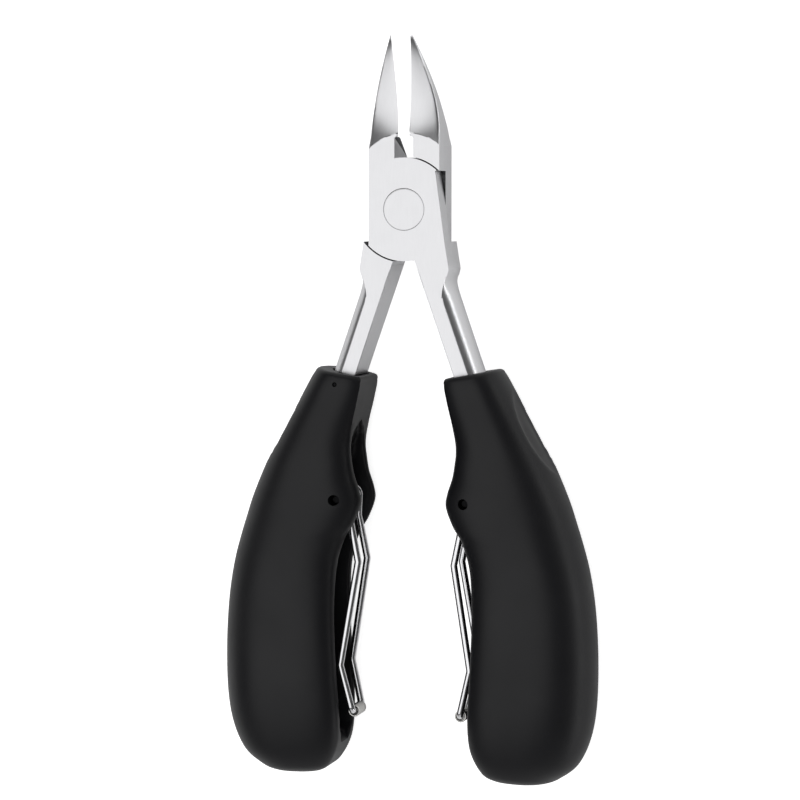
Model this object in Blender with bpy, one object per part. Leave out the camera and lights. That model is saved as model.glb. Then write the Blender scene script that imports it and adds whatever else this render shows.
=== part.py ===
"""Heavy toenail nipper: two forged jaw halves lapped on a rivet, with moulded grips and two wire springs.

The tool lies on its back. +Z is the rivet's axis, +Y runs to the jaws and +X is to the right.
Shapes are drawn in millimetres about the rivet's centre, and placed in metres by their empties.
At rest the jaws stand open by JAW_GAP at the tips, and the tool is symmetric in plan.
"""

import math

import bmesh
import bpy
from mathutils import Vector

MM = 0.001

# Driving dimensions, in millimetres about the rivet's centre.
PIVOT_Y = 42.5  # the rivet's place ahead of the middle of the tool's length
GRIP_HALF_THICKNESS = 10.5  # the grips are the thickest part, and the tool lies on them
HEAD_HALF_THICKNESS = 5.0
HEAD_HALF_WIDTH = 7.7
LAP_RADIUS = 11.0  # the arc on which the two halves' lapped plates turn inside one another
RUNNING_GAP = 0.15  # on each side of every face that moves past another
RIVET_GAP = 0.1  # round the rivet, in the halves' bores
RIVET_HEAD_RADIUS = 4.35
RIVET_BODY_RADIUS = 2.6
RIVET_HEAD_DEPTH = 2.0
JAW_BASE_Y = 14.2
JAW_TIP_Y = 36.2
EDGE_UNDERCUT = 0.3  # how far each cutting edge stands over the jaw behind it, for its depth
ROOT_RELIEF_HALF_WIDTH = 2.05
ROOT_RELIEF_TOP_Y = 14.9

SHANK_ANGLE = math.radians(19.2)  # between each shank and the tool's long axis
SHANK_START = (2.35, -11.0)  # on the inner face, at the crotch
SHANK_WIDTH = 5.7
SHANK_FLAT = 2.8  # of the width, before the round outer side starts
SHANK_LENGTH = 51.5
TANG_HALF_THICKNESS = 4.5
SOCKET_GAP = 0.45

SPRING_PIN = (14.1, -61.3)
SPRING_PIN_RADIUS = 1.0
SPRING_PIN_HALF_LENGTH = 7.8
TANG_PIN = (14.3, -36.9)
TANG_PIN_RADIUS = 0.45
TANG_PIN_HEIGHTS = (2.5, 7.9)
TANG_HOLE_RADIUS = 0.6
WIRE_RADIUS = 0.75
COIL_RADIUS = 1.9
COIL_PITCH = 1.6
# The wire's long legs and its middle loop, from the spring pin. The last value is half the
# distance between the two legs there.
SPRING_KNEES = (
    (-1.45, -4.4, 3.2),
    (-3.75, -13.7, 3.4),
    (0.4, -36.0, 4.4),
    (-2.3, -46.1, 3.7),
)
LOOP_KNEES = ((2.4, -4.2, 0.85), (6.2, -10.5, 0.85))
WIRE_END = 0.5  # the two ends meet inside the roller, this far from its middle
ROLLER_RADIUS = 1.3
ROLLER_BORE = 0.98
ROLLER_HALF_LENGTH = 2.5
CHANNEL_HALF_WIDTH = 4.75
CHANNEL_LOWER_HALF_WIDTH = 5.4  # where the spring's legs stand furthest apart

CHANNEL_MOUTH_X = 4.0  # clear of the grip, so that the channel is open to its inner side
# The thumb dimple in the grip's outer side: its middle, which way is out there, and its half sizes.
DIMPLE_MIDDLE = (28.3, -46.1)
DIMPLE_OUTWARD = (0.865, 0.502)
DIMPLE_STAND_OFF = 1.9
DIMPLE_DEPTH = 3.0
DIMPLE_HALF_LENGTH = 10.2
DIMPLE_HALF_WIDTH = 5.6

ROUND_STEPS = 48
SMALL_STEPS = 16

# Each station runs across a grip, from its inner edge to its outer edge. The last two values
# are half the grip's thickness and half the height of its flat inner face.
GRIP_STATIONS = (
    ((9.9, -35.2), (18.2, -32.6), 7.2, 5.8),
    ((9.15, -36.6), (20.5, -34.3), 8.0, 6.5),
    ((9.85, -40.5), (23.6, -39.6), 8.5, 6.6),
    ((11.0, -45.5), (27.4, -46.2), 9.1, 6.4),
    ((11.6, -50.2), (30.8, -52.6), 9.7, 5.9),
    ((10.95, -55.6), (33.1, -57.6), 10.2, 5.4),
    ((9.7, -59.6), (34.9, -62.0), GRIP_HALF_THICKNESS, 5.3),
    ((9.4, -62.4), (36.1, -65.6), GRIP_HALF_THICKNESS, 5.3),
    ((10.9, -66.4), (37.6, -70.4), GRIP_HALF_THICKNESS, 5.4),
    ((13.1, -70.2), (39.1, -76.2), GRIP_HALF_THICKNESS, 5.6),
    ((14.8, -76.5), (40.3, -84.0), GRIP_HALF_THICKNESS, 5.8),
    ((15.2, -87.0), (40.9, -94.0), GRIP_HALF_THICKNESS, 6.2),
    ((14.7, -99.0), (40.7, -104.0), GRIP_HALF_THICKNESS, 6.2),
    ((14.2, -107.2), (39.5, -111.2), 10.0, 5.9),
    ((14.6, -114.0), (36.9, -116.8), 8.9, 5.0),
    ((16.7, -118.7), (33.2, -119.8), 7.2, 4.0),
    ((20.4, -121.1), (29.2, -121.2), 4.6, 2.6),
)

# The spring channel: height along the grip, depth of its floor, half width there.
CHANNEL_STATIONS = (
    (-45.4, 11.9, 0.6),
    (-46.4, 12.3, 2.8),
    (-48.2, 13.0, 4.3),
    (-51.0, 14.2, CHANNEL_HALF_WIDTH),
    (-58.5, 16.8, CHANNEL_HALF_WIDTH),
    (-62.5, 18.6, CHANNEL_HALF_WIDTH),
    (-66.5, 23.5, CHANNEL_HALF_WIDTH),
    (-75.0, 23.5, CHANNEL_HALF_WIDTH),
    (-86.0, 23.5, CHANNEL_LOWER_HALF_WIDTH),
    (-107.5, 23.5, CHANNEL_LOWER_HALF_WIDTH),
    (-111.2, 21.0, 4.6),
    (-113.4, 16.8, 3.2),
)


def clear_scene():
    for obj in list(bpy.data.objects):
        bpy.data.objects.remove(obj, do_unlink=True)


def finish(name, colour, metallic, roughness):
    """A plain material: colour is linear red, green and blue."""
    material = bpy.data.materials.new(name)
    material.use_nodes = True
    shader = material.node_tree.nodes["Principled BSDF"]
    shader.inputs["Base Color"].default_value = (*colour, 1.0)
    shader.inputs["Metallic"].default_value = metallic
    shader.inputs["Roughness"].default_value = roughness
    material.diffuse_color = (*colour, 1.0)
    return material


def empty(name, place, parent=None):
    """An axis that pieces hang on. place is in millimetres from the parent."""
    axis = bpy.data.objects.new(name, None)
    axis.location = Vector(place) * MM
    axis.parent = parent
    bpy.context.scene.collection.objects.link(axis)
    return axis


def solid(name, bm, material=None, parent=None, smooth_below=35.0):
    """A mesh object from a bmesh drawn in millimetres. Without a material it is a cutter."""
    bmesh.ops.recalc_face_normals(bm, faces=bm.faces)
    bmesh.ops.scale(bm, vec=(MM, MM, MM), verts=bm.verts)
    mesh = bpy.data.meshes.new(name)
    bm.to_mesh(mesh)
    bm.free()
    mesh.shade_smooth()
    mesh.set_sharp_from_angle(angle=math.radians(smooth_below))
    obj = bpy.data.objects.new(name, mesh)
    obj.parent = parent
    bpy.context.scene.collection.objects.link(obj)
    if material:
        mesh.materials.append(material)
    else:
        obj.hide_render = True
        obj.display_type = "WIRE"
    return obj


def loft(rings):
    """A closed body through rings of equal length, with a flat cap at each end."""
    bm = bmesh.new()
    loops = [[bm.verts.new(point) for point in ring] for ring in rings]
    for one, other in zip(loops, loops[1:]):
        for i in range(len(one)):
            j = (i + 1) % len(one)
            bm.faces.new((one[i], one[j], other[j], other[i]))
    bm.faces.new(loops[0])
    bm.faces.new(loops[-1])
    return bm


def prism(outline, low, high):
    """A plan outline, carried from one height to another."""
    return loft([[(x, y, z) for x, y in outline] for z in (low, high)])


def turned(profile, centre=(0.0, 0.0), steps=ROUND_STEPS):
    """A solid of revolution about the vertical line at centre, from (radius, height) pairs."""
    turns = [2 * math.pi * i / steps for i in range(steps)]
    rings = []
    for radius, height in profile:
        ring = [
            (centre[0] + radius * math.cos(a), centre[1] + radius * math.sin(a), height)
            for a in turns
        ]
        rings.append(ring)
    return loft(rings)


def tube(outer, bore, half_length, steps):
    """A short sleeve about the vertical axis."""
    profile = ((outer, half_length), (outer, -half_length), (bore, -half_length), (bore, half_length))
    bm = bmesh.new()
    loops = []
    for i in range(steps):
        a = 2 * math.pi * i / steps
        loops.append([bm.verts.new((r * math.cos(a), r * math.sin(a), z)) for r, z in profile])
    for one, other in zip(loops, loops[1:] + loops[:1]):
        for i in range(4):
            j = (i + 1) % 4
            bm.faces.new((one[i], one[j], other[j], other[i]))
    return bm


def join(obj, other, operation):
    """Adds another solid to obj, or cuts it away. The other one stays as a hidden guide."""
    other.hide_render = True
    other.display_type = "WIRE"
    modifier = obj.modifiers.new(other.name, "BOOLEAN")
    modifier.operation = operation
    modifier.object = other
    modifier.solver = "EXACT"


def arc(radius, start, end, steps):
    """Points on a circle about the rivet. The angles are in degrees."""
    angles = [math.radians(start + (end - start) * i / steps) for i in range(steps + 1)]
    return [(radius * math.cos(a), radius * math.sin(a)) for a in angles]


def spline(stations, pieces):
    """A smooth curve through rows of numbers, with the given number of steps between rows."""
    rows = []
    for i in range(len(stations) - 1):
        before = stations[max(i - 1, 0)]
        here, after = stations[i], stations[i + 1]
        beyond = stations[min(i + 2, len(stations) - 1)]
        for step in range(pieces):
            t = step / pieces
            row = []
            for a, b, c, d in zip(before, here, after, beyond):
                bend = 2 * a - 5 * b + 4 * c - d
                row.append(b + 0.5 * t * (c - a + t * (bend + t * (3 * b - 3 * c + d - a))))
            rows.append(row)
    rows.append(list(stations[-1]))
    return rows


def head_outline():
    """Plan of the front half's head: its jaw root is on the left, its shank on the right."""
    lap = LAP_RADIUS - RUNNING_GAP
    corner = math.degrees(math.acos(HEAD_HALF_WIDTH / lap))
    crotch = math.degrees(math.atan2(SHANK_START[1], SHANK_START[0]))
    relief = math.degrees(math.acos(ROOT_RELIEF_HALF_WIDTH / lap))
    outline = [(-7.3, ROOT_RELIEF_TOP_Y), (-HEAD_HALF_WIDTH, 12.6)]
    outline += arc(lap, 180 + corner, 360 + crotch, 12)
    outline += [(3.6, -14.6), (8.4, -14.6), (9.7, -13.6), (9.8, -12.4), (8.7, -6.0), (6.8, 8.0)]
    outline += arc(lap, 49.0, 180 - relief, 10)
    outline += [(-ROOT_RELIEF_HALF_WIDTH, ROOT_RELIEF_TOP_Y)]
    return outline


def jaw_rings():
    """The left jaw: a beak that curves forward, hollow ground on its front and round on its back."""
    rings = []
    steps = 14
    heights = [ROOT_RELIEF_TOP_Y + (JAW_TIP_Y - ROOT_RELIEF_TOP_Y) * i / steps for i in range(steps + 1)]
    for y in [JAW_BASE_Y] + heights:
        t = max(y - 16.0, 0.0) / (JAW_TIP_Y - 16.0)
        edge = 1.15 + 0.95 * t if y > JAW_BASE_Y else ROOT_RELIEF_HALF_WIDTH + 0.4
        outer = 7.45 - 5.1 * t**1.6
        hollow = 1 - (1 - 2.4 * t) ** 2 if t < 0.42 else 1 - ((t - 0.42) / 0.58) ** 1.5
        front_edge = 4.95 - 1.0 * hollow + 2.5 * t**2.5
        front_outer = 4.95 - 2.2 * hollow + 1.9 * t**2.5
        back = -4.95 + 11.3 * t**1.2
        inner_back = min(back + 0.2, front_edge - 0.35)
        rings.append(
            [
                (-edge, y, front_edge),
                (-outer, y, front_outer),
                (-outer, y, min(back, front_outer - 0.3)),
                (-edge - EDGE_UNDERCUT * (front_edge - inner_back), y, inner_back),
            ]
        )
    return rings


def shank_ring(along, half_thickness, grow=0.0):
    """The shank's section at a distance down it: flat inside, in front and behind, round outside."""
    direction = Vector((math.sin(SHANK_ANGLE), -math.cos(SHANK_ANGLE)))
    across = Vector((math.cos(SHANK_ANGLE), math.sin(SHANK_ANGLE)))
    start = Vector(SHANK_START) + direction * along
    thick = half_thickness + grow
    section = [(0.04 - grow, thick), (0.04 - grow, -thick)]
    for i in range(11):
        a = math.pi * (i / 10 - 0.5)
        reach = SHANK_FLAT + (SHANK_WIDTH - SHANK_FLAT + grow) * math.cos(a) ** 0.8
        section.append((reach, thick * math.sin(a)))
    return [(*(start + across * u), z) for u, z in section]


def shank_rings(grow=0.0, start=0.9, end=SHANK_LENGTH):
    """The shank and its tang, which goes on down inside the grip."""
    head = HEAD_HALF_THICKNESS - 0.03
    stops = ((start, head), (6.0, head), (24.0, 4.7), (end, TANG_HALF_THICKNESS))
    return [shank_ring(along, thick, grow) for along, thick in stops]


def socket_rings():
    """The hole in the grip that the tang fills, open at the grip's top."""
    stops = ((20.0, 4.85), (24.0, 4.7), (SHANK_LENGTH + 0.5, TANG_HALF_THICKNESS))
    return [shank_ring(along, thick, SOCKET_GAP) for along, thick in stops]


def grip_rings():
    """Sections of the right grip from its rim to its round end."""
    flat = [(*inner, *outer, half, wall) for inner, outer, half, wall in GRIP_STATIONS]
    rings = []
    for x0, y0, x1, y1, half, wall in spline(flat, 2):
        half = min(half, GRIP_HALF_THICKNESS)
        inner, span = Vector((x0, y0)), Vector((x1 - x0, y1 - y0))
        round_out, round_in = 0.44, 0.17
        section = []
        for i in range(5):
            a = 0.5 * math.pi * i / 4
            drop = wall + (half - wall) * math.sin(a)
            section.append((round_in * (1 - math.cos(a)), -drop))
        for i in range(13):
            a = math.pi * (i / 12 - 0.5)
            section.append((1 - round_out + round_out * math.cos(a) ** 0.9, half * math.sin(a)))
        section += [(u, -z) for u, z in reversed(section[:5])]
        rings.append([(*(inner + span * u), z) for u, z in section])
    return rings


def channel_rings():
    """The pocket in the grip's inner side into which the spring folds."""
    rings = []
    for y, floor, half in CHANNEL_STATIONS:
        mouth = CHANNEL_MOUTH_X
        rings.append([(mouth, y, half), (mouth, y, -half), (floor, y, -half), (floor, y, half)])
    return rings


def thumb_dimple():
    """A shallow hollow in the grip's outer side, cut by a flattened ball."""
    bm = bmesh.new()
    bmesh.ops.create_uvsphere(bm, u_segments=24, v_segments=12, radius=1.0)
    outward = Vector(DIMPLE_OUTWARD)
    along = Vector((outward.y, -outward.x))
    middle = Vector(DIMPLE_MIDDLE) + outward * DIMPLE_STAND_OFF
    for vert in bm.verts:
        x, y, z = vert.co
        plan = middle + outward * (DIMPLE_DEPTH * x) + along * (DIMPLE_HALF_LENGTH * z)
        vert.co = (plan.x, plan.y, DIMPLE_HALF_WIDTH * y)
    return bm


def turn_over(rings):
    """The same shape, turned half round about the tool's long axis."""
    return [[(-x, y, -z) for x, y, z in ring] for ring in rings]


def mirrored(rings):
    """The same shape on the tool's other side."""
    return [[(-x, y, z) for x, y, z in ring] for ring in rings]


def jaw_half(name, steel, axis, rear):
    """One forging: a jaw, half of the lap joint, and the shank on the other side."""
    place = turn_over if rear else list
    side = -1.0 if rear else 1.0
    head = HEAD_HALF_THICKNESS
    plan = [(side * x, y) for x, y in head_outline()]
    half = solid(name, prism(plan, -head, head), steel, axis)
    jaw = mirrored(jaw_rings()) if rear else jaw_rings()
    join(half, solid(name + ".jaw", loft(jaw), None, axis), "UNION")
    join(half, solid(name + ".shank", loft(place(shank_rings())), None, axis), "UNION")
    lap = prism(arc(LAP_RADIUS + RUNNING_GAP, 0, 354, 59), -side * (head + 2), side * RUNNING_GAP)
    join(half, solid(name + ".lap", lap, None, axis), "DIFFERENCE")
    body, rim = RIVET_BODY_RADIUS + RIVET_GAP, RIVET_HEAD_RADIUS + RIVET_GAP
    shelf = head - RIVET_HEAD_DEPTH - RIVET_GAP
    bore = turned([(body, -side), (body, side * shelf), (rim, side * shelf), (rim, side * 7)])
    join(half, solid(name + ".bore", bore, None, axis), "DIFFERENCE")
    pin_x, pin_y = side * TANG_PIN[0], TANG_PIN[1]
    wall = [(TANG_HOLE_RADIUS, -side * 2.2), (TANG_HOLE_RADIUS, -side * 7)]
    pin_hole = turned(wall, (pin_x, pin_y), SMALL_STEPS)
    join(half, solid(name + ".pin_hole", pin_hole, None, axis), "DIFFERENCE")
    return half


def rivet(steel, axis):
    """The rivet, with a head flush in each face of the lap joint."""
    head = HEAD_HALF_THICKNESS
    shelf = head - RIVET_HEAD_DEPTH
    half = [(RIVET_BODY_RADIUS, shelf), (RIVET_HEAD_RADIUS, shelf), (RIVET_HEAD_RADIUS, head)]
    profile = [(r, -z) for r, z in reversed(half)] + half
    return solid("pivot_rivet", turned(profile), steel, axis)


def grip(name, plastic, axis, side):
    """One moulded grip: socket for the tang, channel for the spring, and holes for two pins."""
    place = list if side > 0 else mirrored
    body = solid(name, loft(place(grip_rings())), plastic, axis)
    for label, rings in (("socket", socket_rings()), ("channel", channel_rings())):
        join(body, solid(name + "." + label, loft(place(rings)), None, axis), "DIFFERENCE")
    dimple = thumb_dimple()
    bmesh.ops.scale(dimple, vec=(side, 1, 1), verts=dimple.verts)
    join(body, solid(name + ".dimple", dimple, None, axis), "DIFFERENCE")
    reach = GRIP_HALF_THICKNESS + 1
    centre = (side * SPRING_PIN[0], SPRING_PIN[1])
    radius = SPRING_PIN_RADIUS + RUNNING_GAP
    hole = turned([(radius, -reach), (radius, reach)], centre, SMALL_STEPS)
    join(body, solid(name + ".spring_hole", hole, None, axis), "DIFFERENCE")
    centre = (side * TANG_PIN[0], TANG_PIN[1])
    wall = [(TANG_HOLE_RADIUS, -side * 4.0), (TANG_HOLE_RADIUS, -side * reach)]
    pin_hole = turned(wall, centre, SMALL_STEPS)
    join(body, solid(name + ".pin_hole", pin_hole, None, axis), "DIFFERENCE")
    return body


def filleted(points, radius, steps):
    """A polyline with every corner turned into an arc of about the given radius."""
    path = [points[0]]
    for before, corner, after in zip(points, points[1:], points[2:]):
        back, ahead = (before - corner).normalized(), (after - corner).normalized()
        half = 0.5 * back.angle(ahead)
        reach = radius / math.tan(half)
        start, end = corner + back * reach, corner + ahead * reach
        centre = corner + (back + ahead).normalized() * (radius / math.sin(half))
        one, other = start - centre, end - centre
        path += [centre + one.slerp(other, i / steps) for i in range(steps + 1)]
    path.append(points[-1])
    return path


def tangent_angle(point, turn):
    """Where a line from point touches the coil, on the side given by turn."""
    return math.atan2(point.y, point.x) + turn * math.acos(COIL_RADIUS / point.length)


def coil(start, end, outer, inner, steps):
    """The turns about the pin from one angle down to another, closing in from outer to inner."""
    turns = []
    for i in range(steps + 1):
        a = start + (end - start) * i / steps
        rise = outer + (inner - outer) * i / steps
        turns.append(Vector((COIL_RADIUS * math.cos(a), COIL_RADIUS * math.sin(a), rise)))
    return turns


def spring_path(side):
    """One wire about its pin: an end in the roller, a long leg, a coil, a loop, and back again."""
    knees = [Vector(knee) for knee in SPRING_KNEES]
    loop = [Vector(knee) for knee in LOOP_KNEES]
    arrive = tangent_angle(knees[0].xy, -1) % (2 * math.pi)
    leave = tangent_angle(loop[0].xy, 1) - 2 * math.pi
    outer = loop[0].z + COIL_PITCH * (arrive - leave) / (2 * math.pi)
    turns = coil(arrive, leave, outer, loop[0].z, 22)
    end = Vector((knees[-1].x, knees[-1].y, WIRE_END))
    middle = Vector((loop[1].x, loop[1].y, 0.0))
    path = filleted([end, *reversed(knees), turns[0]], 1.0, 4)[:-1]
    path += turns[:-1]
    path += filleted([turns[-1], loop[0], loop[1], middle], 0.8, 4)[:-1]
    path += [Vector((p.x, p.y, -p.z)) for p in reversed(path)]
    return [Vector((side * p.x, p.y, p.z)) for p in path]


def spring(name, steel, axis, side):
    """A wire spring, as a round section carried along its path."""
    curve = bpy.data.curves.new(name, "CURVE")
    curve.dimensions = "3D"
    curve.bevel_depth = WIRE_RADIUS * MM
    curve.bevel_resolution = 2
    curve.use_fill_caps = True
    points = spring_path(side)
    line = curve.splines.new("POLY")
    line.points.add(len(points) - 1)
    for point, place in zip(line.points, points):
        point.co = (*(place * MM), 1.0)
    curve.materials.append(steel)
    obj = bpy.data.objects.new(name, curve)
    obj.parent = axis
    bpy.context.scene.collection.objects.link(obj)
    return obj


def main():
    clear_scene()
    forged = finish("satin_stainless_steel", (0.78, 0.78, 0.79), 1.0, 0.32)
    bright = finish("bright_spring_steel", (0.82, 0.82, 0.83), 1.0, 0.16)
    moulded = finish("black_moulded_plastic", (0.022, 0.022, 0.025), 0.0, 0.5)
    plated = finish("plated_metal_sleeve", (0.7, 0.7, 0.71), 1.0, 0.25)

    tool = empty("tool_centre", (0.0, PIVOT_Y, GRIP_HALF_THICKNESS))
    front = empty("front_half_axis", (0.0, 0.0, 0.0), tool)
    rear = empty("rear_half_axis", (0.0, 0.0, 0.0), tool)
    jaw_half("front_jaw_half", forged, front, rear=False)
    jaw_half("rear_jaw_half", forged, rear, rear=True)
    rivet(forged, front)

    for word, side, half in (("right", 1.0, front), ("left", -1.0, rear)):
        grip(word + "_grip", moulded, half, side)
        x, y = side * TANG_PIN[0], TANG_PIN[1]
        profile = [(TANG_PIN_RADIUS, -side * height) for height in TANG_PIN_HEIGHTS]
        pin = turned(profile, (x, y), SMALL_STEPS)
        solid(word + "_tang_pin", pin, bright, half)
        hinge = empty(word + "_spring_axis", (side * SPRING_PIN[0], SPRING_PIN[1], 0.0), half)
        reach = SPRING_PIN_HALF_LENGTH
        pin = turned([(SPRING_PIN_RADIUS, -reach), (SPRING_PIN_RADIUS, reach)], steps=SMALL_STEPS)
        solid(word + "_spring_pin", pin, bright, hinge)
        spring(word + "_spring", bright, hinge, side)
        tip = SPRING_KNEES[-1]
        roll = empty(word + "_roller_axis", (side * tip[0], tip[1], 0.0), hinge)
        sleeve = tube(ROLLER_RADIUS, ROLLER_BORE, ROLLER_HALF_LENGTH, 24)
        solid(word + "_spring_roller", sleeve, plated, roll)


main()
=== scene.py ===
"""Heavy toenail nipper: forged jaw halves lapped on a rivet, black moulded grips, wire springs.

Shapes are drawn in millimetres about the rivet's centre. +Z is the rivet's axis, +Y runs to the
jaws and +X is to the right. The right grip and its spring are drawn, and mirrored for the left.
"""

import math

import bmesh
import bpy
from mathutils import Matrix, Vector


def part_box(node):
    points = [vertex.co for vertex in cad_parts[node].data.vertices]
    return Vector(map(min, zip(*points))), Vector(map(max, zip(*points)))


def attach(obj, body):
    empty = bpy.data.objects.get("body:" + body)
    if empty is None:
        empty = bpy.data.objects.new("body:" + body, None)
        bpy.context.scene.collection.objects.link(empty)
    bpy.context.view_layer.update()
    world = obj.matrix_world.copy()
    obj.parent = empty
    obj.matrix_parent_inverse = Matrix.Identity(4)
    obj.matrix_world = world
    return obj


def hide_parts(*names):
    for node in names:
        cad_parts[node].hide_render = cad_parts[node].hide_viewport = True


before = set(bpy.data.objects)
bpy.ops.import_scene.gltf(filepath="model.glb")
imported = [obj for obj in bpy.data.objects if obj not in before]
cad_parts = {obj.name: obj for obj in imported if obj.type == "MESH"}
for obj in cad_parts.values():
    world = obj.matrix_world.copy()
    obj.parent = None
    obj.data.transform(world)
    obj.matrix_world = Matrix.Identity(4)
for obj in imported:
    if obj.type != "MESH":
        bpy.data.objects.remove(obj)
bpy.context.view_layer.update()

bl_info = {
    "name": "Heavy Toenail Nipper",
    "version": (1, 0, 0),
    "blender": (4, 5, 0),
    "location": "View3D > Sidebar > Nipper",
    "description": "Builds the visible pieces, finishes and studio of a heavy toenail nipper",
    "category": "Object",
}

MM = 0.001


def box_mm(node):
    """Lowest corner, highest corner and middle of a CAD node, in millimetres."""
    low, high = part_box(node)
    return low / MM, high / MM, (low + high) / (2 * MM)


RIVET_HIGH, CENTRE = box_mm("pivot_rivet")[1:]
GRIP_HIGH = box_mm("right_grip")[1]
JAW_HIGH = box_mm("front_jaw_half")[1]
PIN_MIDDLE = box_mm("right_spring_pin")[2]
ROLLER_LOW, ROLLER_HIGH, ROLLER_MIDDLE = box_mm("right_spring_roller")
TANG_MIDDLE = box_mm("right_tang_pin")[2]

RIVET_HEAD_RADIUS = RIVET_HIGH.x - CENTRE.x
HEAD_HALF_THICKNESS = RIVET_HIGH.z - CENTRE.z
GRIP_HALF_THICKNESS = CENTRE.z
JAW_TIP_Y = JAW_HIGH.y - CENTRE.y
SPRING_PIN = (PIN_MIDDLE.x, PIN_MIDDLE.y - CENTRE.y)
TANG_PIN = (TANG_MIDDLE.x, TANG_MIDDLE.y - CENTRE.y)
ROLLER_AT = (ROLLER_MIDDLE.x, ROLLER_MIDDLE.y - CENTRE.y)

HEAD_HALF_WIDTH = 7.7
LAP_RADIUS = 11.0
RUNNING_GAP = 0.15
RIVET_GAP = 0.1
RIVET_BODY_RADIUS = 2.6
RIVET_HEAD_DEPTH = 2.0
GRIND_RADIUS = 11.5  # of the arc across both jaws where the hollow grinding starts
GRIND_CENTRE = (0.56, 4.4)
ROOT_RELIEF_HALF_WIDTH = 2.05
ROOT_RELIEF_TOP_Y = 14.9
ROOT_RELIEF_FOOT_Y = 10.9
ROOT_RELIEF_HIGH_Y = 16.4
ROOT_RELIEF_FAR_X = 1.5
ROOT_RELIEF_BACK_Z = -6.5
JAW_ROOT_Y = 16.0
JAW_FLARE_Y = 12.9  # below this the jaw is as wide as the head
JAW_EDGE_X = 1.15  # of the cutting edge at the root, and below, what the tip adds to it
JAW_EDGE_SPREAD = 0.95
JAW_SIDE_X = 7.45  # of the outer side at the root, and below, what the tip takes from it
JAW_SIDE_TAPER = 5.1
JAW_LANDING_X = 1.35  # of the cutting edge's end inside the head
JAW_CELLS_ACROSS = 12
JAW_ROWS = 44
HOLLOW_DEEPEST = 0.38  # share of the jaw's length
HOLLOW_DEPTH = 0.65  # at the cutting edge, and below, what the outer side adds to it
HOLLOW_OUTER_DEPTH = 1.1
BEAK_RISE = 2.4  # at the cutting edge, and below, what the outer side takes from it
BEAK_OUTER_LOSS = 0.4
BEAK_BACK_RISE = 11.3
EDGE_UNDERCUT = 0.3
SHANK_ANGLE = math.radians(19.2)
SHANK_START = (2.35, -11.0)
SHANK_WIDTH = 5.7
SHANK_FLAT = 2.8
SHANK_ROUND_START = 73.0  # degrees, on the round outer side where it leaves the flats
SHANK_LENGTH = 51.5
SHANK_HALF_THICKNESS = 5.0
SHANK_MIDDLE_HALF_THICKNESS = 4.7
SHOULDER_WIDTH = 6.9  # where the shank leaves the head, square in section
SHOULDER_FLAT = 6.6
TANG_HALF_THICKNESS = 4.5
TANG_START = 24.0  # down the shank
SOCKET_GAP = 0.45
COIL_RADIUS = 1.9
COIL_PITCH = 1.6
SPRING_KNEES = ((-1.45, -4.4, 3.2), (-3.75, -13.7, 3.4), (0.4, -36.0, 4.4), (-2.3, -46.1, 3.7))
LOOP_KNEES = ((2.4, -4.2, 0.85), (6.2, -10.5, 0.85))
WIRE_END = 0.5
ROLLER_BORE = 0.98
CHANNEL_HALF_WIDTH = 4.75
CHANNEL_LOWER_HALF_WIDTH = 5.4
TANG_HOLE_RADIUS = 0.5
SPRING_HOLE_RADIUS = 1.15
RIM_ROUND = 1.1
GRIP_INNER_ROUND = 0.38  # share of the grip's width that rounds over on the inner side
GRIP_OUTER_ROUND_START = 0.48  # share of the width where the outer round starts
DIMPLE_OUTWARD = (0.865, 0.502)
DIMPLE_MIDDLE = (28.3, -46.1)
DIMPLE_HALF_LENGTH = 10.0
DIMPLE_HALF_WIDTH = 5.3
DIMPLE_EASE = 3.5  # the higher, the flatter its floor and the steeper its border

# Each station runs across a grip, from its inner edge to its outer edge. The last two values
# are half the grip's thickness and half the height of its flat inner face.
GRIP_STATIONS = (
    ((9.9, -35.2), (18.2, -32.6), 7.2, 5.8),
    ((9.15, -36.6), (20.5, -34.3), 8.0, 6.5),
    ((9.85, -40.5), (23.6, -39.6), 8.5, 6.6),
    ((11.0, -45.5), (27.4, -46.2), 9.1, 6.4),
    ((11.6, -50.2), (30.8, -52.6), 9.7, 5.9),
    ((10.95, -55.6), (33.1, -57.6), 10.2, 5.4),
    ((9.7, -59.6), (34.9, -62.0), 10.5, 5.3),
    ((9.4, -62.4), (36.1, -65.6), 10.5, 5.3),
    ((10.9, -66.4), (37.6, -70.4), 10.5, 5.4),
    ((13.1, -70.2), (39.1, -76.2), 10.5, 5.6),
    ((14.8, -76.5), (40.3, -84.0), 10.5, 5.8),
    ((15.2, -87.0), (40.9, -94.0), 10.5, 6.2),
    ((14.7, -99.0), (40.7, -104.0), 10.5, 6.2),
    ((14.2, -107.2), (39.5, -111.2), 10.0, 5.9),
    ((14.6, -114.0), (36.9, -116.8), 8.9, 5.0),
    ((16.7, -118.7), (33.2, -119.8), 7.2, 4.0),
    ((19.1, -120.5), (30.6, -120.9), 5.3, 3.0),
    ((22.4, -121.15), (27.6, -121.2), 3.0, 1.7),
)

# The spring channel: height along the grip, depth of its floor below the inner face, half width.
CHANNEL_STATIONS = (
    (-34.0, 0.0, 0.5),
    (-44.8, 0.0, 0.5),
    (-45.8, 0.9, 1.6),
    (-46.8, 1.3, 3.1),
    (-48.6, 1.9, 4.3),
    (-51.0, 3.0, CHANNEL_HALF_WIDTH),
    (-58.5, 7.0, CHANNEL_HALF_WIDTH),
    (-62.5, 9.2, CHANNEL_HALF_WIDTH),
    (-66.5, 12.4, CHANNEL_HALF_WIDTH),
    (-75.0, 9.0, CHANNEL_HALF_WIDTH),
    (-86.0, 8.3, CHANNEL_LOWER_HALF_WIDTH),
    (-106.0, 9.0, CHANNEL_LOWER_HALF_WIDTH),
    (-110.5, 6.4, 4.6),
    (-113.0, 1.6, 3.2),
    (-114.5, 0.0, 2.4),
    (-122.0, 0.0, 1.6),
)


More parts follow.
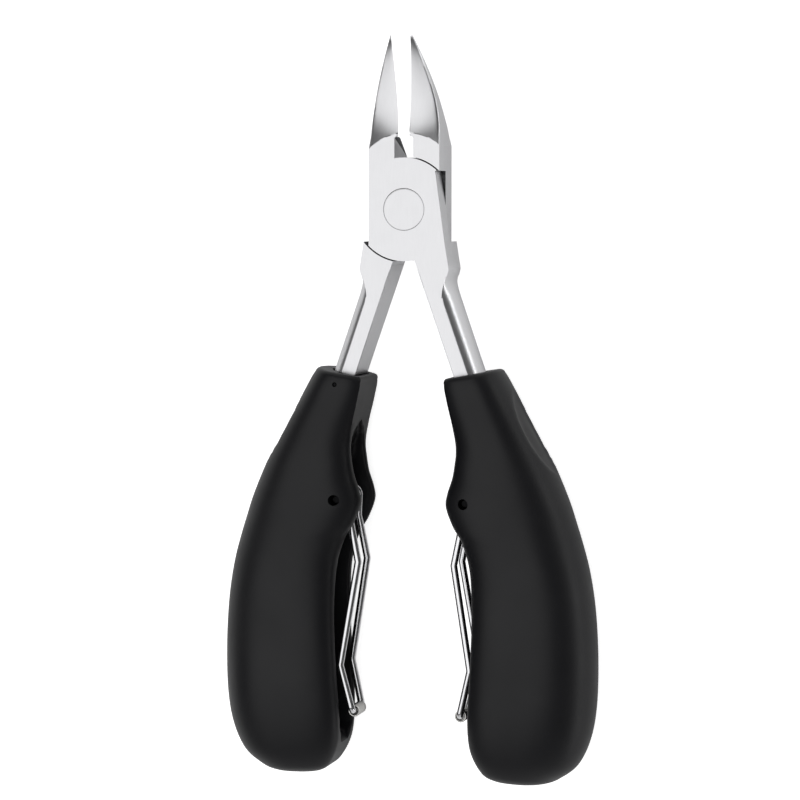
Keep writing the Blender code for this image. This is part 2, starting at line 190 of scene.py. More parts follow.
def length(name, description, default, low, high):
    """A length to set, with its default and limits in millimetres."""
    return bpy.props.FloatProperty(
        name=name,
        description=description,
        default=default * MM,
        min=low * MM,
        max=high * MM,
        unit="LENGTH",
        precision=5,
    )


class NipperSizes(bpy.types.PropertyGroup):
    """Sizes that change how the pieces look and not how they fit."""

    edge_round: length(
        "Edge round", "Width of the worn round on the forged halves' edges", 0.16, 0.02, 0.4
    )
    wire_radius: length("Wire radius", "Radius of the springs' drawn wire", 0.75, 0.5, 0.8)
    lip_round: length(
        "Channel lip round", "Radius of the moulded lips along the spring channel", 0.55, 0.1, 1.0
    )
    dimple_depth: length(
        "Dimple depth", "Depth of the thumb dimple in each grip's outer side", 1.1, 0.0, 2.0
    )


def linear(hex_colour):
    """An sRGB hex colour as linear red, green, blue and alpha."""
    channels = [int(hex_colour[i : i + 2], 16) / 255 for i in (1, 3, 5)]
    return (
        *(c / 12.92 if c <= 0.04045 else ((c + 0.055) / 1.055) ** 2.4 for c in channels),
        1.0,
    )


def colour(name, description, hex_colour):
    """A colour to set."""
    return bpy.props.FloatVectorProperty(
        name=name,
        description=description,
        default=linear(hex_colour),
        size=4,
        min=0.0,
        max=1.0,
        subtype="COLOR",
    )


def roughness(name, description, default):
    """A roughness to set."""
    return bpy.props.FloatProperty(
        name=name, description=description, default=default, min=0.05, max=1.0, subtype="FACTOR"
    )


class NipperFinishes(bpy.types.PropertyGroup):
    """Colours and gloss of the finishes."""

    steel_colour: colour("Steel", "Colour of the satin stainless steel", "#e4e4e6")
    steel_roughness: roughness("Steel roughness", "Roughness of the satin faces", 0.3)
    grip_colour: colour("Grip", "Colour of the moulded grips", "#111114")
    grip_roughness: roughness("Grip roughness", "Roughness of the moulded grips", 0.42)
    wire_colour: colour("Wire", "Colour of the springs' bright wire", "#eaeaec")


# Finishes


def add_node(tree, kind, settings=None, links=None):
    """One shader node, with its sockets or properties set and its inputs linked."""
    node = tree.nodes.new(kind)
    for key, value in (settings or {}).items():
        if key in node.inputs:
            node.inputs[key].default_value = value
        else:
            setattr(node, key, value)
    for key, output in (links or {}).items():
        tree.links.new(output, node.inputs[key])
    return node


def blank_finish(name, colour, metallic, roughness):
    """A new material with its shader, and coordinates that stay with the piece."""
    material = bpy.data.materials.new(name)
    material.use_nodes = True
    tree = material.node_tree
    shader = tree.nodes["Principled BSDF"]
    shader.inputs["Base Color"].default_value = colour
    shader.inputs["Metallic"].default_value = metallic
    shader.inputs["Roughness"].default_value = roughness
    place = add_node(tree, "ShaderNodeTexCoord").outputs["Object"]
    return material, tree, shader, place


def per_metre(size_mm):
    """Scale of a pattern whose features are this many millimetres across."""
    return 1.0 / (size_mm * MM)


def satin_stainless():
    """Stainless steel, drop forged, then belt-finished and tumbled: a soft white sheen, even but
    for faint clouding, with a fine grain along the belt's path."""
    looks = bpy.context.scene.nipper_finishes
    rough = looks.steel_roughness
    material, tree, shader, place = blank_finish(
        "satin_forged_stainless_steel", looks.steel_colour, 1.0, rough
    )
    cloud = add_node(
        tree,
        "ShaderNodeTexNoise",
        {"Scale": per_metre(3.0), "Detail": 3.0, "Roughness": 0.6},
        {"Vector": place},
    )
    vary = add_node(
        tree,
        "ShaderNodeMapRange",
        {"From Min": 0.3, "From Max": 0.7, "To Min": rough - 0.015, "To Max": rough + 0.015},
        {"Value": cloud.outputs["Fac"]},
    )
    tree.links.new(vary.outputs["Result"], shader.inputs["Roughness"])
    # The belt's grain is about 0.05 mm wide, and is drawn 0.35 mm wide so that it shows.
    belt = add_node(tree, "ShaderNodeMapping", {"Scale": (1.0, 0.12, 1.0)}, {"Vector": place})
    grain = add_node(
        tree,
        "ShaderNodeTexNoise",
        {"Scale": per_metre(0.35), "Detail": 2.0},
        {"Vector": belt.outputs["Vector"]},
    )
    tint = add_node(
        tree, "ShaderNodeMix", {"data_type": "RGBA", "blend_type": "MULTIPLY"}
    )
    tint.inputs["Factor"].default_value = 0.05
    tint.inputs["A"].default_value = looks.steel_colour
    tree.links.new(grain.outputs["Fac"], tint.inputs["B"])
    tree.links.new(tint.outputs["Result"], shader.inputs["Base Color"])
    bump = add_node(
        tree,
        "ShaderNodeBump",
        {"Strength": 0.06, "Distance": 0.02 * MM},
        {"Height": grain.outputs["Fac"]},
    )
    tree.links.new(bump.outputs["Normal"], shader.inputs["Normal"])
    return material


def milled_steel_painted_shade():
    """Stainless steel as the slot mill left it, and never polished: rough, with coarse tooth marks,
    and coloured dark as painted shade of the root relief and the floor of the lap, which it lines."""
    # The dark base colour and the ramp's dark end are painted shade of the recesses, laid over the
    # mill's real marks.
    material, tree, shader, place = blank_finish(
        "rough_milled_steel_painted_shade", linear("#4a4a4c"), 1.0, 0.55
    )
    marks = add_node(
        tree,
        "ShaderNodeTexNoise",
        {"Scale": per_metre(0.7), "Detail": 4.0, "Roughness": 0.7},
        {"Vector": place},
    )
    ramp = add_node(tree, "ShaderNodeValToRGB", None, {"Fac": marks.outputs["Fac"]})
    ramp.color_ramp.elements[0].position = 0.35
    ramp.color_ramp.elements[0].color = linear("#2c2c2e")
    ramp.color_ramp.elements[1].position = 0.68
    ramp.color_ramp.elements[1].color = linear("#77777a")
    tree.links.new(ramp.outputs["Color"], shader.inputs["Base Color"])
    bump = add_node(
        tree,
        "ShaderNodeBump",
        {"Strength": 0.5, "Distance": 0.08 * MM},
        {"Height": marks.outputs["Fac"]},
    )
    tree.links.new(bump.outputs["Normal"], shader.inputs["Normal"])
    return material


def black_moulded_plastic():
    """Filled polypropylene, injection moulded in a spark-eroded tool: near-black and matt, with a
    fine even grain, a broad dull sheen on the rounds, and slight flow clouding."""
    looks = bpy.context.scene.nipper_finishes
    rough = looks.grip_roughness
    material, tree, shader, place = blank_finish(
        "black_moulded_polypropylene", looks.grip_colour, 0.0, rough
    )
    shader.inputs["IOR"].default_value = 1.49
    shader.inputs["Specular IOR Level"].default_value = 0.34
    flow = add_node(
        tree,
        "ShaderNodeTexNoise",
        {"Scale": per_metre(14.0), "Detail": 3.0, "Roughness": 0.5},
        {"Vector": place},
    )
    vary = add_node(
        tree,
        "ShaderNodeMapRange",
        {"From Min": 0.3, "From Max": 0.7, "To Min": rough - 0.03, "To Max": rough + 0.04},
        {"Value": flow.outputs["Fac"]},
    )
    tree.links.new(vary.outputs["Result"], shader.inputs["Roughness"])
    # The mould's grain is about 0.1 mm, and is drawn 0.3 mm so that it shows.
    grain = add_node(
        tree,
        "ShaderNodeTexNoise",
        {"Scale": per_metre(0.3), "Detail": 2.0, "Roughness": 0.6},
        {"Vector": place},
    )
    speck = add_node(tree, "ShaderNodeMix", {"data_type": "RGBA", "blend_type": "MULTIPLY"})
    speck.inputs["Factor"].default_value = 0.25
    speck.inputs["A"].default_value = looks.grip_colour
    tree.links.new(grain.outputs["Fac"], speck.inputs["B"])
    tree.links.new(speck.outputs["Result"], shader.inputs["Base Color"])
    bump = add_node(
        tree,
        "ShaderNodeBump",
        {"Strength": 0.12, "Distance": 0.02 * MM},
        {"Height": grain.outputs["Fac"]},
    )
    tree.links.new(bump.outputs["Normal"], shader.inputs["Normal"])
    return material


def bright_drawn_wire():
    """Stainless spring wire, drawn bright through a die: near-mirror, with faint die lines."""
    looks = bpy.context.scene.nipper_finishes
    material, tree, shader, place = blank_finish(
        "bright_drawn_spring_wire", looks.wire_colour, 1.0, 0.14
    )
    # Die lines run along the wire, which lies close to the Y axis.
    along = add_node(tree, "ShaderNodeMapping", {"Scale": (1.0, 0.05, 1.0)}, {"Vector": place})
    lines = add_node(
        tree,
        "ShaderNodeTexNoise",
        {"Scale": per_metre(0.25), "Detail": 2.0},
        {"Vector": along.outputs["Vector"]},
    )
    vary = add_node(
        tree,
        "ShaderNodeMapRange",
        {"From Min": 0.3, "From Max": 0.7, "To Min": 0.1, "To Max": 0.2},
        {"Value": lines.outputs["Fac"]},
    )
    tree.links.new(vary.outputs["Result"], shader.inputs["Roughness"])
    return material


def turned_sleeve_metal():
    """Nickel-plated brass, turned: bright but softer than the wire, with fine turning rings."""
    material, tree, shader, place = blank_finish(
        "nickel_plated_turned_sleeve", linear("#d4d3d0"), 1.0, 0.26
    )
    round_axis = add_node(
        tree, "ShaderNodeMapping", {"Scale": (0.15, 0.15, 1.0)}, {"Vector": place}
    )
    rings = add_node(
        tree,
        "ShaderNodeTexNoise",
        {"Scale": per_metre(0.3), "Detail": 2.0},
        {"Vector": round_axis.outputs["Vector"]},
    )
    bump = add_node(
        tree,
        "ShaderNodeBump",
        {"Strength": 0.15, "Distance": 0.02 * MM},
        {"Height": rings.outputs["Fac"]},
    )
    tree.links.new(bump.outputs["Normal"], shader.inputs["Normal"])
    return material


def pin_steel_painted_hole_shade():
    """Silver steel pin: coloured near-black as painted shade of the hole it sits deep in, with a
    dull turned end.
    """
    # The near-black base and ramp are painted shade of the pin's hole, not a colour of the steel.
    material, tree, shader, place = blank_finish(
        "dark_pin_steel_painted_hole_shade", linear("#121213"), 1.0, 0.6
    )
    wear = add_node(
        tree, "ShaderNodeTexNoise", {"Scale": per_metre(0.6), "Detail": 3.0}, {"Vector": place}
    )
    ramp = add_node(tree, "ShaderNodeValToRGB", None, {"Fac": wear.outputs["Fac"]})
    ramp.color_ramp.elements[0].color = linear("#161617")
    ramp.color_ramp.elements[1].color = linear("#303032")
    tree.links.new(ramp.outputs["Color"], shader.inputs["Base Color"])
    return material


def finish_of(make):
    """The material that a finish function makes, made only once."""
    made = FINISHES.get(make.__name__)
    if made is None:
        made = FINISHES[make.__name__] = make()
    return made


FINISHES = {}


# Shapes


def loft(rings, caps=True, closed=False):
    """A body through rings of equal length."""
    bm = bmesh.new()
    loops = [[bm.verts.new(point) for point in ring] for ring in rings]
    pairs = list(zip(loops, loops[1:]))
    if closed:
        pairs.append((loops[-1], loops[0]))
    for one, other in pairs:
        for i in range(len(one)):
            j = (i + 1) % len(one)
            bm.faces.new((one[i], one[j], other[j], other[i]))
    if caps and not closed:
        bm.faces.new(loops[0])
        bm.faces.new(loops[-1])
    return bm


def prism(outline, low, high):
    """A plan outline, carried from one height to another."""
    return loft([[(x, y, z) for x, y in outline] for z in (low, high)])


def turned(profile, centre=(0.0, 0.0), steps=96):
    """A solid of revolution about the vertical line at centre, from (radius, height) pairs."""
    turns = [2 * math.pi * i / steps for i in range(steps)]
    rings = []
    for radius, height in profile:
        ring = [
            (centre[0] + radius * math.cos(a), centre[1] + radius * math.sin(a), height)
            for a in turns
        ]
        rings.append(ring)
    return loft(rings)


def arc(radius, start, end, steps):
    """Points on a circle about the rivet. The angles are in degrees."""
    angles = [math.radians(start + (end - start) * i / steps) for i in range(steps + 1)]
    return [(radius * math.cos(a), radius * math.sin(a)) for a in angles]


def spline(stations, pieces):
    """A smooth curve through rows of numbers, with the given number of steps between rows."""
    rows = []
    for i in range(len(stations) - 1):
        before = stations[max(i - 1, 0)]
        here, after = stations[i], stations[i + 1]
        beyond = stations[min(i + 2, len(stations) - 1)]
        for step in range(pieces):
            t = step / pieces
            row = []
            for a, b, c, d in zip(before, here, after, beyond):
                bend = 2 * a - 5 * b + 4 * c - d
                row.append(b + 0.5 * t * (c - a + t * (bend + t * (3 * b - 3 * c + d - a))))
            rows.append(row)
    rows.append(list(stations[-1]))
    return rows


def between(stations, at):
    """The row at a height, from rows whose first value falls steadily."""
    if at >= stations[0][0]:
        return stations[0][1:]
    for one, other in zip(stations, stations[1:]):
        if at >= other[0]:
            t = (one[0] - at) / (one[0] - other[0])
            t = t * t * (3 - 2 * t)
            return [a + (b - a) * t for a, b in zip(one[1:], other[1:])]
    return stations[-1][1:]


def mirrored(rings):
    """The same shape on the tool's other side."""
    return [[(-x, y, z) for x, y, z in ring] for ring in rings]


def turn_over(rings):
    """The same shape, turned half round about the tool's long axis."""
    return [[(-x, y, -z) for x, y, z in ring] for ring in rings]


def mesh_object(name, bm):
    """A piece in the frame, from a bmesh drawn in millimetres about the rivet's centre."""
    bmesh.ops.recalc_face_normals(bm, faces=bm.faces)
    bmesh.ops.translate(bm, vec=CENTRE, verts=bm.verts)
    bmesh.ops.scale(bm, vec=(MM, MM, MM), verts=bm.verts)
    mesh = bpy.data.meshes.new(name)
    bm.to_mesh(mesh)
    bm.free()
    obj = bpy.data.objects.new(name, mesh)
    bpy.context.scene.collection.objects.link(obj)
    return obj


def carved(obj, tools):
    """Joins or cuts each tool, a (bmesh, operation, finish) set, and keeps only the result.

    A face that a tool makes takes the tool's finish."""
    helpers = []
    for i, (bm, operation, finish) in enumerate(tools):
        helper = mesh_object(f"{obj.name}_tool_{i}", bm)
        helper.data.materials.append(finish_of(finish))
        modifier = obj.modifiers.new(helper.name, "BOOLEAN")
        modifier.operation = operation
        modifier.solver = "EXACT"
        modifier.material_mode = "TRANSFER"
        modifier.object = helper
        helpers.append(helper)
    settle(obj)
    for helper in helpers:
        bpy.data.objects.remove(helper, do_unlink=True)
    return obj


def settle(obj):
    """Makes what the modifiers give the object's own mesh."""
    graph = bpy.context.evaluated_depsgraph_get()
    mesh = bpy.data.meshes.new_from_object(obj.evaluated_get(graph))
    obj.modifiers.clear()
    old, obj.data = obj.data, mesh
    bpy.data.meshes.remove(old)
    mesh.name = obj.name


def cleaned(obj, weld_mm=0.03):
    """Joins points that a cut left almost together, and drops edges in flat faces."""
    bm = bmesh.new()
    bm.from_mesh(obj.data)
    bmesh.ops.remove_doubles(bm, verts=bm.verts, dist=weld_mm * MM)
    bmesh.ops.dissolve_limit(
        bm, angle_limit=math.radians(0.05), verts=bm.verts, edges=bm.edges, delimit={"MATERIAL"}
    )
    bmesh.ops.recalc_face_normals(bm, faces=bm.faces)
    bm.to_mesh(obj.data)
    bm.free()


def rounded_edges(obj, width, segments=2, angle=28.0):
    """Gives every sharp edge a small round."""
    modifier = obj.modifiers.new("edge_round", "BEVEL")
    modifier.width = width
    modifier.segments = segments
    modifier.limit_method = "ANGLE"
    modifier.angle_limit = math.radians(angle)
    modifier.use_clamp_overlap = True
    modifier.miter_outer = "MITER_ARC"
    settle(obj)


def smooth(obj, angle=35.0):
    """Shades the piece smooth, but for edges sharper than the angle, and keeps its flats flat."""
    obj.data.shade_smooth()
    obj.data.set_sharp_from_angle(angle=math.radians(angle))
    even = obj.modifiers.new("even_shading", "WEIGHTED_NORMAL")
    even.keep_sharp = True


def fitted(obj, body, slot, *nodes):
    """Puts a finished piece in the frame."""
    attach(obj, body)
    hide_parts(*nodes)
    return obj


# The forged halves


def head_outline(lean):
    """Plan of the front half's head: its jaw root is on the left, its shank on the right."""
    lap = LAP_RADIUS - RUNNING_GAP
    corner = math.degrees(math.acos(HEAD_HALF_WIDTH / lap))
    crotch = math.degrees(math.atan2(SHANK_START[1], SHANK_START[0]))
    relief = math.degrees(math.acos(ROOT_RELIEF_HALF_WIDTH / lap))
    outline = arc(lap, 180 + corner, 360 + crotch, 40)
    outline += [(3.6, -14.0), (9.4, -14.0), (9.75, -12.6), (8.7, -6.0), (6.8, 8.0)]
    outline += arc(lap, 49.0, 180 - relief, 36)
    edge = -jaw_edge(ROOT_RELIEF_TOP_Y)
    outline += [(-ROOT_RELIEF_HALF_WIDTH, ROOT_RELIEF_TOP_Y)]
    for i in range(21):
        x = edge - (HEAD_HALF_WIDTH + edge) * i / 20
        outline.append((x, grind_y(x, lean)))
    return outline


def grind_y(x, lean):
    """Where the hollow grinding starts, on the line at x."""
    reach = GRIND_RADIUS**2 - (x - lean * GRIND_CENTRE[0]) ** 2
    return GRIND_CENTRE[1] + math.sqrt(max(reach, 0.0))


def jaw_edge(y):
    """How far the cutting edge is from the middle line at a height."""
    t = max(y - JAW_ROOT_Y, 0.0) / (JAW_TIP_Y - JAW_ROOT_Y)
    return JAW_EDGE_X + JAW_EDGE_SPREAD * t


def jaw_outer(y):
    """How far the jaw's outer side is from the middle line at a height."""
    t = max(y - JAW_ROOT_Y, 0.0) / (JAW_TIP_Y - JAW_ROOT_Y)
    root = HEAD_HALF_WIDTH - JAW_SIDE_X
    return JAW_SIDE_X - JAW_SIDE_TAPER * t**1.6 + root * (1 - eased(y, JAW_FLARE_Y, JAW_ROOT_Y))


def hollow_share(up):
    """How much of its depth the hollow grinding has, from the root at 0 to the tip at 1."""
    if up < HOLLOW_DEEPEST:
        return 1 - (1 - up / HOLLOW_DEEPEST) ** 2
    return 1 - ((up - HOLLOW_DEEPEST) / (1 - HOLLOW_DEEPEST)) ** 1.5


def jaw_rings(lean):
    """The left jaw: a beak that curves forward, hollow ground on its front and round on its back.

    Each ring follows the grinding's arc at the root and comes straight towards the tip."""
    rings = []
    across = [i / JAW_CELLS_ACROSS for i in range(JAW_CELLS_ACROSS + 1)]
    rows = [-0.03, 0.0] + [((i + 1) / JAW_ROWS) ** 1.15 for i in range(JAW_ROWS)]
    for t in rows:
        front, back_points = [], []
        for s in across:
            root_x = -(JAW_EDGE_X + (JAW_SIDE_X - JAW_EDGE_X) * s)
            y = grind_y(root_x, lean) * (1 - t) + JAW_TIP_Y * t
            up = max(t, 0.0)
            x = -(jaw_edge(y) + (jaw_outer(y) - jaw_edge(y)) * s)
            if t < 0:
                x = -(JAW_LANDING_X + (HEAD_HALF_WIDTH - 0.1 - JAW_LANDING_X) * s)
            dip = (HOLLOW_DEPTH + HOLLOW_OUTER_DEPTH * s**1.5) * hollow_share(up)
            rise = (BEAK_RISE - BEAK_OUTER_LOSS * s) * up**1.8
            z_front = 4.99 - dip + rise
            back = -4.95 + BEAK_BACK_RISE * up**1.2
            inner_back = min(back + 0.2, z_front - 0.35)
            front.append((x, y, z_front))
            back_points.append((x, y, back, inner_back))
        x_out, y_out, z_out = front[-1]
        x_in, y_in, z_in = front[0]
        low = min(back_points[-1][2], z_out - 0.3)
        deep = z_out - low
        width = x_in - x_out
        round_back = min(0.35 * deep, 0.3 * width, 1.6, 0.16 + 6.0 * max(up, 0.0))
        ring = front[:-1]
        edge_round = min(0.18, 0.2 * deep, 0.2 * width)
        ring += [(x_out + edge_round, y_out, z_out + 0.02), (x_out, y_out, z_out - edge_round)]
        ring += [(x_out, y_out, z_out - 0.5 * deep)]
        for i in range(7):
            a = 0.5 * math.pi * i / 6
            ring.append(
                (
                    x_out + round_back * (1 - math.cos(a)),
                    y_out,
                    low + round_back * (1 - math.sin(a)),
                )
            )
        back_in = back_points[0][3]
        undercut = x_in - EDGE_UNDERCUT * (z_in - back_in)
        undercut = max(undercut, x_out + round_back + 0.1)
        middle = 0.5 * (x_out + round_back + undercut)
        ring += [(middle, 0.5 * (y_out + y_in), 0.5 * (low + back_in))]
        ring += [(undercut, y_in, back_in), (0.5 * (undercut + x_in), y_in, 0.5 * (back_in + z_in))]
        rings.append(ring)
    return rings


def shank_frame():
    """Direction down the shank, direction across it, and its start."""
    along = Vector((math.sin(SHANK_ANGLE), -math.cos(SHANK_ANGLE)))
    across = Vector((math.cos(SHANK_ANGLE), math.sin(SHANK_ANGLE)))
    return along, across, Vector(SHANK_START)


def eased(value, low, high):
    """From 0 at low to 1 at high, with a gentle start and end."""
    t = min(max((value - low) / (high - low), 0.0), 1.0)
    return t * t * (3 - 2 * t)


def shank_ring(distance, half_thickness, flat, reach, grow=0.0, corner=0.22):
    """The section: flat inside, in front and behind, round outside, with softened inner corners."""
    along, across, start = shank_frame()
    thick = half_thickness + grow
    section = []
    for i in range(4):
        a = 0.5 * math.pi * i / 3
        drop = corner * (1 - math.cos(a))
        section.append((0.04 - grow + corner * (1 - math.sin(a)), thick - drop))
    section += [(u, -z) for u, z in reversed(section)]
    first = math.radians(SHANK_ROUND_START)
    for i in range(25):
        a = first * (i / 12 - 1)
        over = (math.cos(a) - math.cos(first)) / (1 - math.cos(first))
        section.append((flat + (reach - flat + grow) * over, thick * math.sin(a) / math.sin(first)))
    base = start + along * distance
    return [(*(base + across * u), z) for u, z in section]


def shank_rings():
    """The shank, from its square shoulder through a scooped run-out to the tang."""
    rings = []
    stops = [0.9 + 0.35 * i for i in range(40)] + [16, 18, 20, 24, 32, SHANK_LENGTH]
    for distance in stops:
        head, middle = SHANK_HALF_THICKNESS, SHANK_MIDDLE_HALF_THICKNESS
        thick = head if distance < 6 else head + (middle - head) * min((distance - 6) / 18, 1.0)
        if distance > TANG_START:
            sunk = distance - TANG_START
            thick = middle + (TANG_HALF_THICKNESS - middle) * sunk / (SHANK_LENGTH - TANG_START)
        scoop = eased(distance, 3.4, 10.5)
        narrow = eased(distance, 3.6, 6.6)
        reach = SHOULDER_WIDTH + (SHANK_WIDTH - SHOULDER_WIDTH) * narrow
        flat = SHOULDER_FLAT + (SHANK_FLAT - SHOULDER_FLAT) * scoop**0.6
        rings.append(shank_ring(distance, thick, min(flat, reach - 0.25), reach))
    return rings


def relief_wedge(side):
    """What clears the back of the jaw's root, so that the relief's wall runs out upwards."""
    wall, far = -ROOT_RELIEF_HALF_WIDTH, ROOT_RELIEF_FAR_X
    foot, top, back = ROOT_RELIEF_FOOT_Y, ROOT_RELIEF_HIGH_Y, ROOT_RELIEF_BACK_Z
    points = [(wall, ROOT_RELIEF_TOP_Y, 4.6), (wall, foot, -5.2), (wall, foot, back)]
    points += [(-4.35, top, back), (-1.05, top, 5.3)]
    points += [(far, top, 5.3), (far, top, back), (far, foot, back), (far, ROOT_RELIEF_TOP_Y, 4.6)]
    bm = bmesh.new()
    for x, y, z in points:
        bm.verts.new((side * x, y, z))
    bmesh.ops.convex_hull(bm, input=bm.verts)
    return bm


def jaw_half(name, rear):
    """One forging: a jaw, half of the lap joint, and the shank on the other side."""
    side = -1.0 if rear else 1.0
    head = HEAD_HALF_THICKNESS
    round_width = bpy.context.scene.nipper_sizes.edge_round
    plan = [(side * x, y) for x, y in head_outline(side)]
    half = mesh_object(name, prism(plan, -head, head))
    jaw = jaw_rings(side)
    jaw = mirrored(jaw) if rear else jaw
    shank = shank_rings()
    shank = turn_over(shank) if rear else shank
    lap_circle = arc(LAP_RADIUS + RUNNING_GAP, 0, 357, 119)
    lap = prism(lap_circle, -side * (head + 2), side * RUNNING_GAP)
    body, rim = RIVET_BODY_RADIUS + RIVET_GAP, RIVET_HEAD_RADIUS + RIVET_GAP
    shelf = head - RIVET_HEAD_DEPTH - RIVET_GAP
    bore = turned([(body, -side), (body, side * shelf), (rim, side * shelf), (rim, side * 7)])
    half.data.materials.append(finish_of(satin_stainless))
    carved(
        half,
        [
            (loft(jaw), "UNION", satin_stainless),
            (loft(shank), "UNION", satin_stainless),
            # The relief and the lap's floor take the dark milled finish: painted shade of these
            # recesses, over real mill marks.
            (relief_wedge(side), "DIFFERENCE", milled_steel_painted_shade),
            (lap, "DIFFERENCE", milled_steel_painted_shade),
        ],
    )
    cleaned(half)
    rounded_edges(half, round_width)
    carved(half, [(bore, "DIFFERENCE", satin_stainless)])
    smooth(half, 30.0)
    return half


def rivet_profile():
    """Half section of the rivet: flush heads with a fine chamfer and faintly domed faces."""
    head = HEAD_HALF_THICKNESS
    shelf = head - RIVET_HEAD_DEPTH
    rim = RIVET_HEAD_RADIUS + 0.07
    half = [(RIVET_BODY_RADIUS, shelf), (rim, shelf), (rim, head - 0.1), (rim - 0.03, head - 0.04)]
    half += [(rim - 0.1, head - 0.008), (rim - 0.4, head), (0.4, head)]
    return [(r, -z) for r, z in reversed(half)] + half


# The grips


def grip_section(row):
    """One section of the right grip, with the spring channel in its inner face."""
    x0, y0, x1, y1, half, wall = row
    half = min(half, GRIP_HALF_THICKNESS)
    inner, span = Vector((x0, y0)), Vector((x1 - x0, y1 - y0))
    width = span.length
    depth, channel = between(CHANNEL_STATIONS, y0)
    lip = bpy.context.scene.nipper_sizes.lip_round / MM
    lip = min(lip, 0.45 * max(depth, 0.02), 0.8 * (wall - channel)) if depth > 0.02 else 0.0
    floor_round = min(1.2, 0.35 * depth)
    half_section = []
    for k in (0.0, 0.35, 0.7):
        half_section.append((depth, k * (channel - floor_round)))
    for i in range(4):
        a = 0.5 * math.pi * i / 3
        half_section.append(
            (
                depth - floor_round * (1 - math.cos(a)),
                channel - floor_round + floor_round * math.sin(a),
            )
        )
    half_section.append((0.5 * (depth - floor_round + lip), channel))
    for i in range(5):
        a = 0.5 * math.pi * i / 4
        half_section.append((lip * (1 - math.sin(a)), channel + lip * (1 - math.cos(a))))
    half_section.append((0.0, 0.5 * (channel + lip + wall)))
    crisp = math.radians(38.0 * eased(y0, -54.0, -44.0))
    for i in range(13):
        a = crisp + (0.5 * math.pi - crisp) * i / 12
        over = (math.cos(crisp) - math.cos(a)) / math.cos(crisp)
        rise = (math.sin(a) - math.sin(crisp)) / (1 - math.sin(crisp))
        half_section.append((GRIP_INNER_ROUND * width * over, wall + (half - wall) * rise))
    for k in (0.41, 0.45, GRIP_OUTER_ROUND_START):
        half_section.append((k * width, half))
    for i in range(1, 19):
        a = 0.5 * math.pi * (1 - i / 18)
        share = GRIP_OUTER_ROUND_START + (1 - GRIP_OUTER_ROUND_START) * math.cos(a) ** 0.92
        half_section.append((share * width, half * math.sin(a)))
    along = span.normalized()
    section = half_section + [(u, -z) for u, z in reversed(half_section[1:-1])]
    return [(*(inner + along * u), z) for u, z in section]


def dimpled(point):
    """A grip's point, pressed in where the thumb rests."""
    x, y, z = point
    outward = Vector(DIMPLE_OUTWARD)
    along = Vector((outward.y, -outward.x))
    offset = Vector((x, y)) - Vector(DIMPLE_MIDDLE)
    u, v = offset.dot(outward), offset.dot(along)
    if u < -7.0:
        return point
    reach = math.hypot(v / DIMPLE_HALF_LENGTH, z / DIMPLE_HALF_WIDTH)
    depth = bpy.context.scene.nipper_sizes.dimple_depth / MM
    if reach >= 1.0:
        return point
    pressed = depth * (1 - reach**DIMPLE_EASE)
    moved = Vector((x, y)) - outward * pressed
    return (moved.x, moved.y, z)


def rim_rings(section):
    """From the grip's first full section over its rounded rim and down into the socket."""
    points = [Vector(p) for p in section]
    middle = sum(points, Vector()) / len(points)
    along, across = shank_frame()[:2]
    down, over = Vector((*along, 0.0)), Vector((*across, 0.0))
    half_width = max(abs((p - middle).dot(over)) for p in points)
    half_depth = max(abs(p.z) for p in points)
    rings = []
    for i in range(1, 6):
        a = 0.5 * math.pi * i / 5
        inset, lift = RIM_ROUND * (1 - math.cos(a)), down * (RIM_ROUND * math.sin(a))
        draw_in = (over, inset / half_width, inset / half_depth)
        rings.append([rim_point(p, middle, draw_in, lift) for p in points])
    hole = socket_outline(points, middle)
    top = down * RIM_ROUND
    rings.append([h - top + (p - h) * 0.03 for h, p in zip(hole, points)])
    rings.append([h - top * 0.8 for h in hole])
    rings.append([h + down * 1.5 for h in hole])
    rings.append([h + down * 12.0 for h in hole])
    return rings


def rim_point(point, middle, draw_in, lift):
    """A point of the rim, drawn in across the grip and through its thickness, and raised."""
    over, share_over, share_deep = draw_in
    u = (point - middle).dot(over)
    moved = point - over * (u * share_over) - lift
    return Vector((moved.x, moved.y, point.z * (1 - share_deep)))


def socket_outline(points, middle):
    """The socket's mouth, with one point for each point of the rim."""
    along, across, start = shank_frame()
    plane_along = (middle.xy - start).dot(along)
    section = shank_ring(plane_along, 4.75, SHANK_FLAT, SHANK_WIDTH, SOCKET_GAP, 0.8)
    polygon = [((Vector(p[:2]) - start).dot(across), p[2]) for p in section]
    centre_u = 0.5 * (SHANK_WIDTH + SOCKET_GAP)
    hole = []
    for p in points:
        u = (p.xy - start).dot(across) - centre_u
        angle = math.atan2(p.z, u)
        reach = ray_reach(polygon, centre_u, angle)
        spot = start + along * plane_along + across * (centre_u + reach * math.cos(angle))
        slope = (p.xy - middle.xy).dot(along)
        base = spot + along * (slope * 0.6)
        hole.append(Vector((base.x, base.y, reach * math.sin(angle))))
    return hole


def ray_reach(polygon, centre_u, angle):
    """How far a ray from the middle goes before it meets the outline."""
    direction = Vector((math.cos(angle), math.sin(angle)))
    best = 0.0
    for one, other in zip(polygon, polygon[1:] + polygon[:1]):
        a = Vector((one[0] - centre_u, one[1]))
        edge = Vector((other[0] - centre_u, other[1])) - a
        cross = direction.x * edge.y - direction.y * edge.x
        if abs(cross) < 1e-9:
            continue
        reach = (a.x * edge.y - a.y * edge.x) / cross
        along = (a.x * direction.y - a.y * direction.x) / cross
        if reach > 0 and -1e-6 <= along <= 1 + 1e-6:
            best = max(best, reach)
    return best


